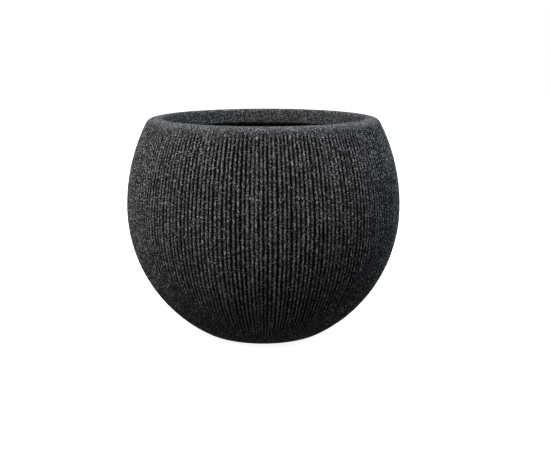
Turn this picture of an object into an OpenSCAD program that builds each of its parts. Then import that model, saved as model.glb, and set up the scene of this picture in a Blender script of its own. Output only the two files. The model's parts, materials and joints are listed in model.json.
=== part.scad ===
// Ribbed ball planter: a moulded garden pot with a rounded rim, a turned-in collar,
// a central drain hole with a pull-out plug, and three pads under the base.
// Origin on the ground under the middle of the pot, +Z up, millimetres.

/* [Body] */
// Outside diameter over the ribs at the widest ring
body_d = 400; // [392:2:420]
// Height of the widest ring above the underside of the base
belly_h = 180.5; // [175:0.5:187]
// Radius of the side curve above the widest ring
upper_arc_r = 266; // [256:2:280]
// Radius of the side curve below the widest ring
lower_arc_r = 210; // [206:1:214]
// Thickness of the side wall
wall_t = 9; // [7:0.5:9.5]

/* [Rim and collar] */
// Inside diameter of the collar, the clear width of the mouth
mouth_d = 290; // [276:2:300]
// How far up its curve the side runs before it turns in, in degrees above the widest ring
shoulder_angle = 28; // [27:0.5:29]
// Radius of the shoulder between the side and the top face of the rim
shoulder_r = 12; // [10:0.5:14]
// Slope of the rim's top face where it leaves the shoulder, in degrees
rim_slope = 10; // [8:1:14]
// Thickness of the collar
collar_t = 8; // [7:0.5:10]
// How far the collar hangs down from the top of the rim
collar_h = 24; // [20:1:30]

/* [Base] */
// Thickness of the base between the planting floor and the underside
base_t = 11; // [10:0.5:14]
// Radius of the rounding where the side meets the underside
base_round = 8; // [6:1:10]
// Diameter of the recessed middle of the underside
recess_d = 112; // [104:2:116]
// Depth of that recess
recess_h = 3; // [2:0.5:4]

/* [Drain plug] */
// Diameter of the drain hole
drain_d = 18; // [14:0.5:22]
// Gap between the plug's shank and the hole, on the radius
plug_gap = 0.05; // [0.04:0.01:0.1]
// Diameter of the plug's flange
flange_d = 30; // [27:1:34]
// Thickness of the flange
flange_t = 3; // [2.5:0.5:4]
// Diameter of the knob that fingers pull
knob_d = 15; // [12:1:18]
// Height of the knob above the flange
knob_h = 10; // [9:1:12]

/* [Pads] */
// Diameter of a pad
pad_d = 22; // [18:1:24]
// Thickness of a pad
pad_t = 4; // [3.5:0.5:5]
// Depth of the pocket that a pad is glued into
pocket_h = 1.5; // [1:0.5:2]
// Distance of a pad's middle from the middle of the pot
pad_ring_r = 75; // [72:1:77]
// Gap round a pad in its pocket
pad_gap = 0.2; // [0.1:0.1:0.3]

/* [Hidden] */
$fn = 180;
ridge_fn = 48;

pad_count = 3;

body_r = body_d / 2;
base_z = pad_t - pocket_h;
floor_z = base_z + base_t;
belly_z = base_z + belly_h;
mouth_r = mouth_d / 2;
lip_r = collar_t / 2;
rim_x = mouth_r + lip_r;

// Middles of the two side curves, on the level of the widest ring
upper_x = body_r - upper_arc_r;
lower_x = body_r - lower_arc_r;

// The shoulder's middle lies on the ray from the upper curve's middle at shoulder_angle
shoulder_x = upper_x + (upper_arc_r - shoulder_r) * cos(shoulder_angle);
shoulder_z = belly_z + (upper_arc_r - shoulder_r) * sin(shoulder_angle);

// The rim's top face is an arc that leaves the shoulder at rim_slope and is level at rim_x
rim_end = 90 - rim_slope;
rim_r = (shoulder_x + shoulder_r * cos(rim_end) - rim_x) / cos(rim_end);
rim_z = shoulder_z - (rim_r - shoulder_r) * sin(rim_end);
top_z = rim_z + rim_r;

// The base rounding's middle lies on the ray from the lower curve's middle at base_angle
base_angle = asin((belly_h - base_round) / (lower_arc_r - base_round));
base_round_x = lower_x + (lower_arc_r - base_round) * cos(base_angle);

// Inside of the wall: where the rim's underside meets the back of the collar, and
// where the side meets the planting floor
rim_inner_r = rim_r - wall_t;
collar_meet_angle = acos(lip_r / rim_inner_r);
floor_angle = asin((belly_z - floor_z) / (lower_arc_r - wall_t));

// Past a surface, for cutting shapes
past = 2;

charcoal = [0.17, 0.175, 0.185];
rubber_black = [0.07, 0.07, 0.07];

// Points along an arc, leaving out its first point
function arc(x, z, r, from, to, steps) = [
    for (i = [1 : steps])
        let (angle = from + (to - from) * i / steps)
            [x + r * cos(angle), z + r * sin(angle)]
];

// Outside of the pot, from the underside up over the rim to the collar's lower edge
outside = concat(
    [[0, base_z], [base_round_x, base_z]],
    arc(base_round_x, base_z + base_round, base_round, -90, -base_angle, 4),
    arc(lower_x, belly_z, lower_arc_r, -base_angle, 0, 28),
    arc(upper_x, belly_z, upper_arc_r, 0, shoulder_angle, 14),
    arc(shoulder_x, shoulder_z, shoulder_r, shoulder_angle, rim_end, 6),
    arc(rim_x, rim_z, rim_r, rim_end, 90, 5),
    arc(rim_x, top_z - lip_r, lip_r, 90, 180, 5),
    [[mouth_r, top_z - collar_h + lip_r]],
    arc(rim_x, top_z - collar_h + lip_r, lip_r, 180, 360, 8)
);

// Inside of the pot, from the back of the collar down to the planting floor
inside = concat(
    [[
        rim_x + rim_inner_r * cos(collar_meet_angle),
        rim_z + rim_inner_r * sin(collar_meet_angle)
    ]],
    arc(rim_x, rim_z, rim_inner_r, collar_meet_angle, rim_end, 3),
    arc(shoulder_x, shoulder_z, shoulder_r - wall_t, rim_end, shoulder_angle, 4),
    arc(upper_x, belly_z, upper_arc_r - wall_t, shoulder_angle, 0, 14),
    arc(lower_x, belly_z, lower_arc_r - wall_t, 0, -floor_angle, 28),
    [[0, floor_z]]
);

module pad_place(index) {
    rotate([0, 0, index * 360 / pad_count + 90]) translate([pad_ring_r, 0, 0]) children();
}

module pot_shell() {
    color(charcoal) difference() {
        rotate_extrude() polygon(concat(outside, inside));
        // Recessed middle of the underside
        translate([0, 0, base_z - past]) cylinder(h = recess_h + past, d = recess_d);
        // Drain hole
        translate([0, 0, base_z]) cylinder(h = base_t + past, d = drain_d);
        // Pockets for the pads
        for (index = [0 : pad_count - 1])
            pad_place(index) translate([0, 0, base_z - past])
                cylinder(h = pocket_h + past, d = pad_d + 2 * pad_gap);
    }
}

// Soft plug: shank in the drain hole, flange on the planting floor, knob to pull it by
module drain_plug() {
    shank_r = drain_d / 2 - plug_gap;
    tip_h = 1;
    shank_z = base_z + recess_h - tip_h;
    flange_r = flange_d / 2;
    flange_z = floor_z + flange_t;
    flange_edge = 1;
    stem_r = knob_d / 4;
    cap_r = knob_d / 2;
    cap_h = 5;
    cap_low_edge = 1;
    cap_top_edge = 2;
    cap_top_z = flange_z + knob_h;
    cap_z = cap_top_z - cap_h;
    color(rubber_black) rotate_extrude($fn = ridge_fn) {
        polygon([
            [0, shank_z],
            [shank_r - tip_h, shank_z],
            [shank_r, shank_z + tip_h],
            [shank_r, floor_z],
            [flange_r, floor_z],
            [flange_r, flange_z - flange_edge],
            [flange_r - flange_edge, flange_z],
            [stem_r, flange_z],
            [stem_r, cap_z],
            [cap_r, cap_z + cap_low_edge],
            [cap_r, cap_top_z - cap_top_edge],
            [cap_r - cap_top_edge, cap_top_z],
            [0, cap_top_z]
        ]);
    }
}

// Glued pad with a bevelled lower edge
module foot_pad(index) {
    bevel = 0.8;
    color(rubber_black) pad_place(index) rotate_extrude($fn = ridge_fn)
        polygon([
            [0, 0],
            [pad_d / 2 - bevel, 0],
            [pad_d / 2, bevel],
            [pad_d / 2, pad_t],
            [0, pad_t]
        ]);
}

pot_shell();
drain_plug();
foot_pad(0);  // foot_pad_1
foot_pad(1);  // foot_pad_2
foot_pad(2);  // foot_pad_3
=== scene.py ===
import json
import math

import bpy
import numpy as np
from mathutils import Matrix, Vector


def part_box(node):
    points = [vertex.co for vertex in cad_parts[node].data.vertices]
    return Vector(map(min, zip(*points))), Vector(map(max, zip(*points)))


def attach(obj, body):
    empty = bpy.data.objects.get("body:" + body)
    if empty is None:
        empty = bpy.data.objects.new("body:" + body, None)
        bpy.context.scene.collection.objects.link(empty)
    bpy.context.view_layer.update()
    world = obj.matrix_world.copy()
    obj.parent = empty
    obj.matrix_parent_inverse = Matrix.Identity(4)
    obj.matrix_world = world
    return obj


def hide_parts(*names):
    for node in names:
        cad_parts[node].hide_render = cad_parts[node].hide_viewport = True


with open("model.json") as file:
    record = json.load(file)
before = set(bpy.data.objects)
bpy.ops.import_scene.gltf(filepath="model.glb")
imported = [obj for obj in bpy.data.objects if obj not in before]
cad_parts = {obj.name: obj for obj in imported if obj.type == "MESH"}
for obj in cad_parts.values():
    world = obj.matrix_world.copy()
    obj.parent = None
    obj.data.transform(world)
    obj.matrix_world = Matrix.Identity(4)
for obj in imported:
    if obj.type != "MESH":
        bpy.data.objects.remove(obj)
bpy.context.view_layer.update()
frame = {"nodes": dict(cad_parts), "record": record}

# ---------------------------------------------------------------- sizes, in metres
mm = 0.001
shell_low, shell_high = (Vector(corner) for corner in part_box("pot_shell"))
mouth_mount = next(m for m in frame["record"]["mounts"] if m["name"] == "mouth")

body_r = (shell_high.x - shell_low.x) / 2
base_z = shell_low.z
belly_h = 180.5 * mm
upper_arc_r = 266 * mm
lower_arc_r = 210 * mm
wall_t = 9 * mm
mouth_r = mouth_mount["dims"]["r_mm"] * mm
shoulder_angle = math.radians(28)
shoulder_r = 12 * mm
rim_end = math.radians(80)
rib_top_angle = math.radians(50)    # where on the shoulder the ribs have faded out
foot_angle = math.radians(80)       # where on the base rounding the ribbed mesh starts
lip_r = 4 * mm
collar_h = 24 * mm
base_t = 11 * mm
base_round = 8 * mm
recess_r = 56 * mm
recess_h = 3 * mm
drain_r = 9 * mm

belly_z = base_z + belly_h
upper_x = body_r - upper_arc_r
lower_x = body_r - lower_arc_r
rim_x = mouth_r + lip_r
floor_z = base_z + base_t
shoulder_x = upper_x + (upper_arc_r - shoulder_r) * math.cos(shoulder_angle)
shoulder_z = belly_z + (upper_arc_r - shoulder_r) * math.sin(shoulder_angle)
rim_r = (shoulder_x + shoulder_r * math.cos(rim_end) - rim_x) / math.cos(rim_end)
rim_z = shoulder_z - (rim_r - shoulder_r) * math.sin(rim_end)
top_z = rim_z + rim_r
rib_top_z = shoulder_z + shoulder_r * math.sin(rib_top_angle)
base_angle = math.asin((belly_h - base_round) / (lower_arc_r - base_round))
base_round_x = lower_x + (lower_arc_r - base_round) * math.cos(base_angle)
rim_inner_r = rim_r - wall_t
collar_meet_angle = math.acos(lip_r / rim_inner_r)
floor_angle = math.asin((belly_z - floor_z) / (lower_arc_r - wall_t))

# ---------------------------------------------------------------- ribs
rib_count = 210
groove_phases = (0.0, 0.2, 0.36, 0.5, 0.64, 0.8)    # 0 is a rib's crest, 0.5 its groove
groove_shape = (0.0, 0.2, 0.74, 1.0, 0.74, 0.2)     # share of the full depth at each phase
groove_depth = 2.6 * mm                             # at the widest ring
groove_limit = 1.15                                 # deepest groove, as a share of that
rib_fade_h = 15 * mm                                # height over which the ribs fade in
foot_fade_h = 6 * mm                                # and over which they fade out at the foot
grain_height = 0.22 * mm

# Unevenness of the ribs, sideways in shares of a rib's width and in shares of the depth
rib_offset, rib_sway, groove_sway = 0.13, 0.07, 0.05
depth_mean, depth_sway, depth_spread, depth_drift = 0.95, 0.3, 0.26, 0.16
rib_sway_knots, groove_sway_knots, depth_knots = 16, 40, 30

# How much the grain is evened out and darkened, 0 to 1, on the shoulder, the rim, the lip and
# inside; the darkening is painted shade
shoulder_plain_shade, rim_plain_shade, lip_plain_shade, inside_plain_shade = 0.95, 0.2, 0.4, 1.0
shade_drop = 2 * mm                                 # how far below the ribs' top the painted shade is deepest
rim_steps, lip_steps = 6, 5
seed = 7


def arc(x, z, r, start, end, steps):
    """Points along an arc, leaving out its first point."""
    angles = [start + (end - start) * (i + 1) / steps for i in range(steps)]
    return [(x + r * math.cos(a), z + r * math.sin(a)) for a in angles]


def ribbed_profile():
    """The ribbed stretch of the outside, from the foot up over the shoulder."""
    foot_z = base_z + base_round
    foot = [(base_round_x + base_round * math.cos(-foot_angle),
             foot_z + base_round * math.sin(-foot_angle))]
    foot += arc(base_round_x, foot_z, base_round, -foot_angle, -base_angle, 2)
    side = arc(lower_x, belly_z, lower_arc_r, -base_angle, 0, 34)
    side += arc(upper_x, belly_z, upper_arc_r, 0, shoulder_angle, 22)
    shoulder = arc(shoulder_x, shoulder_z, shoulder_r, shoulder_angle, rim_end, 6)
    return foot + side + shoulder


def smooth_profile():
    """The rest of the outline, over the lip, down the inside and back along the underside."""
    points = arc(rim_x, rim_z, rim_r, rim_end, math.pi / 2, rim_steps)
    points += arc(rim_x, top_z - lip_r, lip_r, math.pi / 2, math.pi, lip_steps)
    low_lip = top_z - collar_h + lip_r
    high_lip = top_z - lip_r
    points += [(mouth_r, high_lip - (high_lip - low_lip) * i / 4) for i in range(1, 5)]
    points += arc(rim_x, low_lip, lip_r, math.pi, 2 * math.pi, 8)
    points += arc(rim_x, rim_z, rim_inner_r, collar_meet_angle, rim_end, 3)
    points += arc(shoulder_x, shoulder_z, shoulder_r - wall_t, rim_end, shoulder_angle, 3)
    points += arc(upper_x, belly_z, upper_arc_r - wall_t, shoulder_angle, 0, 8)
    points += arc(lower_x, belly_z, lower_arc_r - wall_t, 0, -floor_angle, 14)
    floor_r = points[-1][0]
    points += [(floor_r - (floor_r - drain_r) * i / 4, floor_z) for i in range(1, 4)]
    points += [(drain_r, floor_z), (drain_r, base_z + recess_h)]
    points += [(recess_r, base_z + recess_h), (recess_r, base_z)]
    points += [(recess_r + (base_round_x - recess_r) * i / 2, base_z) for i in (1, 2)]
    return points


def wander(rng, size, knots, rows):
    """A smooth random line for each of size ribs, -1 to 1, over a number of rows."""
    values = rng.uniform(-1, 1, (knots, size))
    place = np.linspace(0, knots - 1, rows)
    low = np.minimum(place.astype(int), knots - 2)
    part = place - low
    ease = (part * part * (3 - 2 * part))[:, None]
    return values[low] * (1 - ease) + values[low + 1] * ease


def groups(rng, size):
    """A random ring of size values, -1 to 1, that drifts over several ribs at a time."""
    around = np.arange(size) * 2 * math.pi / size
    turns = np.arange(5, 24)[:, None]
    ring = np.sin(turns * around + rng.uniform(0, 2 * math.pi, (len(turns), 1))).sum(axis=0)
    return ring / np.abs(ring).max()


def fade(points):
    """How deep the ribs are at each point, from 0 on the shoulder and at the foot to 1."""
    shares = []
    for x, z in points:
        from_top = min(1.0, max(0.0, (rib_top_z - z) / rib_fade_h))
        from_base = min(1.0, max(0.0, (z - base_z) / foot_fade_h))
        narrowing = min(1.0, (x / body_r) ** 0.8 + 0.1)
        shares.append(from_top * from_base * narrowing)
    return np.array(shares)


def store(mesh, name, values):
    """Keep values as a point attribute for the material, and 0 on the points past them."""
    whole = np.zeros(len(mesh.vertices))
    whole[:len(values)] = values
    mesh.attributes.new(name, "FLOAT", "POINT").data.foreach_set("value", whole)


def grid(first, columns, rows):
    """Faces between rows of points that go round the pot, row by row."""
    faces = []
    for row in range(rows - 1):
        low = first + row * columns
        high = low + columns
        for c in range(columns):
            d = (c + 1) % columns
            faces.append((low + c, low + d, high + d, high + c))
    return faces


def stitch(fine, coarse, flip):
    """Faces from a ring with several points per rib to a ring with one point per rib."""
    per_rib = len(groove_phases)
    columns = rib_count * per_rib
    half = per_rib // 2
    faces = []
    for i in range(rib_count):
        left, right = coarse + i, coarse + (i + 1) % rib_count
        fan = [(fine + (i * per_rib + k) % columns, fine + (i * per_rib + k + 1) % columns,
                left if k < half else right) for k in range(per_rib)]
        fan.append((fine + (i * per_rib + half) % columns, right, left))
        faces += [tuple(reversed(face)) for face in fan] if flip else fan
    return faces


def build_shell():
    """The whole moulding as one closed mesh, with the grooves cut inwards."""
    rng = np.random.default_rng(seed)
    ribbed = ribbed_profile()
    smooth = smooth_profile()
    rows = len(ribbed)
    per_rib = len(groove_phases)
    columns = rib_count * per_rib

    # Where each rib's crest and groove lie, and how deep the groove is, at each level
    middle = rib_offset * rng.uniform(-1, 1, rib_count)
    middle = middle + rib_sway * wander(rng, rib_count, rib_sway_knots, rows)
    groove_side = groove_sway * wander(rng, rib_count, groove_sway_knots, rows)
    groove_middle = (middle + np.roll(middle, -1, axis=1)) / 2 + groove_side
    depth = depth_mean + depth_sway * wander(rng, rib_count, depth_knots, rows)
    depth = depth + depth_spread * rng.uniform(-1, 1, rib_count)
    depth += depth_drift * groups(rng, rib_count)

    index = np.arange(rib_count)
    phase = np.zeros((rows, columns))
    shape = np.zeros((rows, columns))
    for k in range(per_rib):
        follow = index if groove_phases[k] < 0.5 else (index + 1) % rib_count
        blend = min(groove_phases[k], 1 - groove_phases[k]) * 2
        shift = middle[:, follow] * (1 - blend) + groove_middle * blend
        phase[:, k::per_rib] = index[None, :] + groove_phases[k] + shift
        shape[:, k::per_rib] = groove_shape[k]
    deep = np.repeat(depth, per_rib, axis=1)
    deep = (deep + np.roll(deep, per_rib // 2, axis=1)) / 2
    share = fade(ribbed)[:, None]
    groove = np.clip(shape * deep, 0, groove_limit) * share
    grain = rng.uniform(0, 1, (rows, columns)) * grain_height * np.clip(share * 3, 0, 1)

    # The ribbed outside has several columns per rib, and the rest of the shell has one
    heights = [z for x, z in ribbed]
    radius = np.array([x for x, z in ribbed])[:, None] - groove * groove_depth - grain
    angle = phase * (2 * math.pi / rib_count)
    level = np.repeat(np.array(heights)[:, None], columns, axis=1)
    outer = np.stack([radius * np.cos(angle), radius * np.sin(angle), level], axis=-1)
    turn = index * (2 * math.pi / rib_count)
    inner = np.array([[(x * math.cos(t), x * math.sin(t), z) for t in turn] for x, z in smooth])
    vertices = np.concatenate([outer.reshape(-1, 3), inner.reshape(-1, 3)])

    first = rows * columns
    last = first + (len(smooth) - 1) * rib_count
    faces = grid(0, columns, rows)
    faces += stitch((rows - 1) * columns, first, False)
    faces += grid(first, rib_count, len(smooth))
    faces += stitch(0, last, True)

    mesh = bpy.data.meshes.new("ribbed_shell")
    mesh.from_pydata(vertices.tolist(), [], faces)
    mesh.polygons.foreach_set("use_smooth", [True] * len(mesh.polygons))
    # The groove depth, which the material also uses to paint shade into the grooves
    store(mesh, "groove", np.clip(groove, 0, 1).ravel())
    # Painted shade: evens the grain and darkens the shoulder band below the rim and the whole
    # inside of the pot
    levels = (rib_top_z - rib_fade_h, rib_top_z - shade_drop, heights[-1])
    outer_plain_shade = np.interp(heights, levels, (0, shoulder_plain_shade, rim_plain_shade))
    steps = (0, rim_steps, rim_steps + lip_steps)
    inner_plain_shade = np.interp(np.arange(len(smooth)), steps, (rim_plain_shade, lip_plain_shade, inside_plain_shade))
    store(mesh, "plain_shade", np.concatenate([np.repeat(outer_plain_shade, columns),
                                         np.repeat(inner_plain_shade, rib_count)]))
    mesh.validate()
    shell = bpy.data.objects.new("ribbed_shell", mesh)
    bpy.context.scene.collection.objects.link(shell)
    return shell


# ---------------------------------------------------------------- materials
class Nodes:
    """A short way to write a material's node tree."""

    def __init__(self, name):
        self.material = bpy.data.materials.new(name)
        self.material.use_nodes = True
        self.tree = self.material.node_tree
        self.shader = self.tree.nodes["Principled BSDF"]
        self.place = self.add("ShaderNodeTexCoord").outputs["Object"]

    def add(self, kind, **settings):
        node = self.tree.nodes.new(kind)
        for key, value in settings.items():
            setattr(node, key, value)
        return node

    def join(self, output, socket):
        self.tree.links.new(output, socket)

    def noise(self, scale, detail=2.0, roughness=0.5):
        node = self.add("ShaderNodeTexNoise")
        node.inputs["Scale"].default_value = scale
        node.inputs["Detail"].default_value = detail
        node.inputs["Roughness"].default_value = roughness
        self.join(self.place, node.inputs["Vector"])
        return node.outputs["Fac"]

    def cells(self, scale):
        node = self.add("ShaderNodeTexVoronoi")
        node.inputs["Scale"].default_value = scale
        self.join(self.place, node.inputs["Vector"])
        return node

    def spread(self, value, low, high, to_low=0.0, to_high=1.0):
        node = self.add("ShaderNodeMapRange")
        node.inputs["From Min"].default_value = low
        node.inputs["From Max"].default_value = high
        node.inputs["To Min"].default_value = to_low
        node.inputs["To Max"].default_value = to_high
        self.join(value, node.inputs["Value"])
        return node.outputs["Result"]

    def maths(self, operation, first, second):
        node = self.add("ShaderNodeMath", operation=operation)
        for socket, value in zip(node.inputs, (first, second)):
            if isinstance(value, (int, float)):
                socket.default_value = value
            else:
                self.join(value, socket)
        return node.outputs["Value"]

    def mix(self, share, first, second):
        node = self.add("ShaderNodeMix", data_type="RGBA")
        self.join(share, node.inputs["Factor"])
        for socket, value in zip((node.inputs[6], node.inputs[7]), (first, second)):
            if isinstance(value, tuple):
                socket.default_value = (*value, 1.0)
            else:
                self.join(value, socket)
        return node.outputs[2]

    def bump(self, height, strength, distance, under=None):
        node = self.add("ShaderNodeBump")
        node.inputs["Strength"].default_value = strength
        node.inputs["Distance"].default_value = distance
        self.join(height, node.inputs["Height"])
        if under is not None:
            self.join(under, node.inputs["Normal"])
        return node.outputs["Normal"]


def charcoal_material():
    """Matte charcoal moulding with a granite-like grain and pale specks.

    The mesh's groove attribute paints shade into the grooves, and plain_shade evens out the grain
    and paints shade on the shoulder and inside.
    """
    dark_grain, light_grain = (0.0025, 0.0026, 0.0028), (0.068, 0.069, 0.072)
    # The second of these is painted shade for the shoulder band and the inside, also evening out
    # the grain
    even_charcoal, plain_shaded_charcoal = (0.045, 0.046, 0.049), (0.016, 0.0168, 0.0182)
    # The groove colour is painted shade; the pit colour is dark specks of the grain
    painted_groove_shade, pit_black = (0.0015, 0.0015, 0.0015), (0.003, 0.003, 0.0033)
    grey_speck, pale_speck, glint_white = (0.68, 0.685, 0.695), (0.8, 0.8, 0.8), (0.85, 0.85, 0.85)
    cells_per_m, grain_scale, edge_scale, drift_scale, fine_scale = 1050, 660, 620, 14, 1500

    # Each speck is a small cell, and the cell's three random values decide its kind
    n = Nodes("granular_charcoal")
    cell = n.cells(cells_per_m)
    chance = n.add("ShaderNodeSeparateColor")
    n.join(cell.outputs["Color"], chance.inputs["Color"])
    core = n.spread(cell.outputs["Distance"], 0.8, 0.4)
    pale = n.maths("MULTIPLY", core, n.spread(chance.outputs["Red"], 0.87, 0.96))
    glint = n.maths("MULTIPLY", core, n.spread(chance.outputs["Red"], 0.976, 0.99))
    light = n.maths("MULTIPLY", core, n.maths("POWER", chance.outputs["Green"], 3.2))
    pit = n.maths("MULTIPLY", core, n.spread(chance.outputs["Blue"], 0.55, 0.8))
    grain = n.noise(grain_scale, 3.0, 0.75)
    drift = n.noise(drift_scale, 3.0, 0.55)

    # The surface of the ribs and rim
    colour = n.mix(n.spread(grain, 0.4, 0.6), dark_grain, light_grain)
    colour = n.mix(n.maths("MULTIPLY", light, 0.9), colour, grey_speck)
    colour = n.mix(n.spread(drift, 0.3, 0.7, 0.0, 0.2), colour, even_charcoal)
    colour = n.mix(pit, colour, pit_black)
    colour = n.mix(pale, colour, pale_speck)
    # Painted shade: darker, evener colour on the shoulder band and inside the pot
    plain_shade = n.add("ShaderNodeAttribute", attribute_name="plain_shade").outputs["Fac"]
    colour = n.mix(n.maths("MULTIPLY", plain_shade, 0.45), colour, plain_shaded_charcoal)

    # Painted shade in the grooves, with ragged edges, and the few glints that show even inside it
    groove = n.add("ShaderNodeAttribute", attribute_name="groove").outputs["Fac"]
    edge = n.spread(n.noise(edge_scale, 2.0, 0.7), 0.3, 0.7, 0.45, -0.45)
    ragged = n.maths("ADD", groove, edge)
    ragged = n.maths("MULTIPLY", ragged, n.spread(groove, 0.02, 0.16))
    shade = n.spread(ragged, 0.06, 0.52, 0.0, 0.99)
    colour = n.mix(shade, colour, painted_groove_shade)
    # Fewer glints where the painted shade lies
    unshaded = n.maths("SUBTRACT", 1.0, n.maths("MULTIPLY", plain_shade, 0.6))
    colour = n.mix(n.maths("MULTIPLY", glint, unshaded), colour, glint_white)
    n.join(colour, n.shader.inputs["Base Color"])

    n.join(n.spread(grain, 0.3, 0.7, 1.0, 0.85), n.shader.inputs["Roughness"])
    n.shader.inputs["Specular IOR Level"].default_value = 0.08
    fine = n.bump(n.noise(fine_scale, 2.0, 0.6), 0.35, 0.3 * mm)
    coarse = n.bump(grain, 0.95, 1.8 * mm, fine)
    n.join(n.bump(light, 0.5, 0.5 * mm, coarse), n.shader.inputs["Normal"])
    return n.material


def rubber_material(name, dark, light):
    """Matte black rubber with a faint mottle and dust."""
    n = Nodes(name)
    mottle = n.noise(90, 4.0, 0.6)
    n.join(n.mix(n.spread(mottle, 0.3, 0.75), dark, light), n.shader.inputs["Base Color"])
    n.join(n.spread(n.noise(240, 3.0), 0.3, 0.7, 0.55, 0.82), n.shader.inputs["Roughness"])
    n.join(n.bump(n.noise(1100, 3.0), 0.25, 0.2 * mm), n.shader.inputs["Normal"])
    n.shader.inputs["Specular IOR Level"].default_value = 0.35
    return n.material


def paint(name, material):
    """Give a CAD node the material, in every slot it has."""
    node = frame["nodes"][name]
    if not node.material_slots:
        node.data.materials.append(material)
    for slot in node.material_slots:
        slot.material = material


# ---------------------------------------------------------------- the object
shell = build_shell()
shell.data.materials.append(charcoal_material())
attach(shell, "pot")
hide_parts("pot_shell")

paint("drain_plug", rubber_material("plug_rubber", (0.012, 0.012, 0.013), (0.035, 0.035, 0.037)))
pad_rubber = rubber_material("pad_rubber", (0.015, 0.015, 0.015), (0.05, 0.048, 0.046))
for number in (1, 2, 3):
    paint(f"foot_pad_{number}", pad_rubber)


# ---------------------------------------------------------------- stage, light and camera
def build_stage():
    """A white floor just under the pads, which shadows fall on."""
    size, level = 6.0, -0.2 * mm
    mesh = bpy.data.meshes.new("studio_floor")
    around = ((-size, -size), (size, -size), (size, size), (-size, size))
    mesh.from_pydata([(x, y, level) for x, y in around], [], [(0, 1, 2, 3)])
    floor = bpy.data.objects.new("studio_floor", mesh)
    bpy.context.scene.collection.objects.link(floor)
    n = Nodes("pale_floor")
    n.shader.inputs["Base Color"].default_value = (0.85, 0.85, 0.85, 1)
    n.shader.inputs["Roughness"].default_value = 0.9
    n.shader.inputs["Specular IOR Level"].default_value = 0.0
    n.shader.inputs["Emission Color"].default_value = (1, 1, 1, 1)
    n.shader.inputs["Emission Strength"].default_value = 0.9
    mesh.materials.append(n.material)
    floor.visible_diffuse = False
    floor.visible_glossy = False


def add_softbox(name, place, target, size, power, colour=(1, 1, 1)):
    """A round area light at place that faces target."""
    data = bpy.data.lights.new(name, "AREA")
    data.shape = "DISK"
    data.size = size
    data.energy = power
    data.color = colour
    lamp = bpy.data.objects.new(name, data)
    lamp.location = place
    lamp.rotation_euler = (Vector(target) - Vector(place)).to_track_quat("-Z", "Y").to_euler()
    bpy.context.scene.collection.objects.link(lamp)


def build_world():
    """White backdrop for the camera, and soft light that fades towards the ground."""
    world = bpy.data.worlds.new("studio")
    bpy.context.scene.world = world
    world.use_nodes = True
    tree = world.node_tree
    tree.nodes.clear()
    output = tree.nodes.new("ShaderNodeOutputWorld")
    place = tree.nodes.new("ShaderNodeTexCoord")
    split = tree.nodes.new("ShaderNodeSeparateXYZ")
    ramp = tree.nodes.new("ShaderNodeMapRange")
    ramp.inputs["From Min"].default_value = -0.2
    ramp.inputs["From Max"].default_value = 1.0
    ramp.inputs["To Min"].default_value = 0.14
    ramp.inputs["To Max"].default_value = 0.36
    soft = tree.nodes.new("ShaderNodeBackground")
    soft.inputs["Color"].default_value = (0.92, 0.96, 1, 1)
    white = tree.nodes.new("ShaderNodeBackground")
    white.inputs["Color"].default_value = (1, 1, 1, 1)
    white.inputs["Strength"].default_value = 1.0
    path = tree.nodes.new("ShaderNodeLightPath")
    choose = tree.nodes.new("ShaderNodeMixShader")
    tree.links.new(place.outputs["Generated"], split.inputs["Vector"])
    tree.links.new(split.outputs["Z"], ramp.inputs["Value"])
    tree.links.new(ramp.outputs["Result"], soft.inputs["Strength"])
    tree.links.new(path.outputs["Is Camera Ray"], choose.inputs["Fac"])
    tree.links.new(soft.outputs["Background"], choose.inputs[1])
    tree.links.new(white.outputs["Background"], choose.inputs[2])
    tree.links.new(choose.outputs["Shader"], output.inputs["Surface"])


def build_camera():
    """Camera about six pot radii away, a little above the pot."""
    distance = 6 * body_r
    elevation = math.radians(11.14)
    aim_right, aim_down = 16.7 * mm, 28.7 * mm
    middle = Vector((0, 0, belly_z))
    place = middle + distance * Vector((0, -math.cos(elevation), math.sin(elevation)))
    up = Vector((0, math.sin(elevation), math.cos(elevation)))
    target = middle + Vector((aim_right, 0, 0)) - aim_down * up
    data = bpy.data.cameras.new("camera")
    data.sensor_width = 36
    data.lens = 52.81
    data.clip_start = 0.01
    camera = bpy.data.objects.new("camera", data)
    camera.location = place
    camera.rotation_euler = (target - place).to_track_quat("-Z", "Y").to_euler()
    bpy.context.scene.collection.objects.link(camera)
    bpy.context.scene.camera = camera


build_stage()
build_world()
add_softbox("key", (-1.0, -1.25, 2.05), (0, 0, 0.15), 1.3, 62)
add_softbox("overhead", (0.1, 0.3, 2.2), (0, 0, 0.3), 1.2, 5, (0.7, 0.85, 1))
add_softbox("back_fill", (1.8, 0.5, 1.25), (0, 0, 0.15), 1.4, 36, (0.78, 0.89, 1))
build_camera()
bpy.context.scene.view_settings.view_transform = "Standard"
